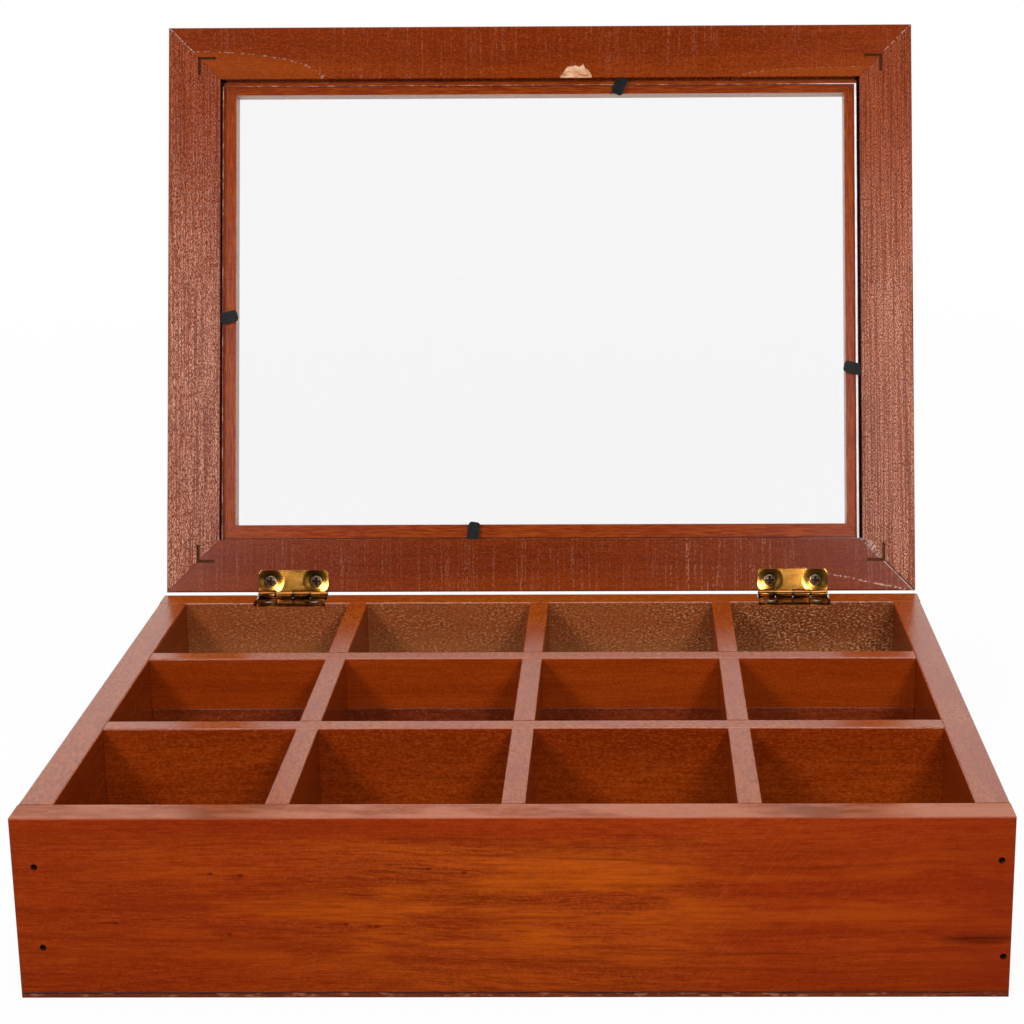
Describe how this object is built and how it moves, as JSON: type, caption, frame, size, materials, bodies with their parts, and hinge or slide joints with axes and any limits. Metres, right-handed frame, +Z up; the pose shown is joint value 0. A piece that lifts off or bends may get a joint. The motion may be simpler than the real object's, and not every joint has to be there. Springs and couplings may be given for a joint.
{
  "type": "tea bag organizer box",
  "caption": "Wooden storage box divided by a grid of half-lapped dividers, with a hinged lid that is a mitred frame round a clear glass window.",
  "frame": {"origin": "centre of the box's underside, on the plane it stands on", "axes": "+Z up, +Y towards the hinged back, +X to the right seen from the front"},
  "size_m": [0.3, 0.3069, 0.2775],
  "materials": {
    "box_wood": "semi-gloss reddish-brown stain",
    "panel_wood": "satin stain over a thin sheet",
    "lid_wood": "semi-gloss dark reddish-brown stain",
    "glass": "clear",
    "black_steel": "satin black",
    "brass": "polished plating",
    "steel": "bright"
  },
  "bodies": {
    "box": {"front_board": "box_wood", "back_board": "box_wood", "left_side_board": "box_wood", "right_side_board": "box_wood", "cross_divider_front": "box_wood", "cross_divider_rear_upper": "box_wood", "cross_divider_rear_lower": "box_wood", "long_divider_left": "box_wood", "long_divider_middle": "box_wood", "long_divider_right": "box_wood", "bottom_panel": "panel_wood", "hinge_left_box_leaf": "brass", "hinge_right_box_leaf": "brass", "hinge_left_pin": "steel", "hinge_right_pin": "steel", "hinge_left_box_screws": "steel", "hinge_right_box_screws": "steel", "corner_brads_front": "steel", "corner_brads_back": "steel", "bottom_brads": "steel"},
    "lid": {"lid_rail_front": "lid_wood", "lid_rail_rear": "lid_wood", "lid_rail_left": "lid_wood", "lid_rail_right": "lid_wood", "glass_pane": "glass", "glazing_point_front": "black_steel", "glazing_point_rear": "black_steel", "glazing_point_left": "black_steel", "glazing_point_right": "black_steel", "corner_fastener_front_left": "black_steel", "corner_fastener_front_right": "black_steel", "corner_fastener_rear_left": "black_steel", "corner_fastener_rear_right": "black_steel", "hinge_left_lid_leaf": "brass", "hinge_right_lid_leaf": "brass", "hinge_left_lid_screws": "steel", "hinge_right_lid_screws": "steel"}
  },
  "joints": [
    {"name": "lid_hinge", "type": "hinge", "parent": "box", "child": "lid", "pos_m": [0, 0.1145, 0.0585], "axis": [1, 0, 0], "range_deg": [0, 106.75]}
  ]
}
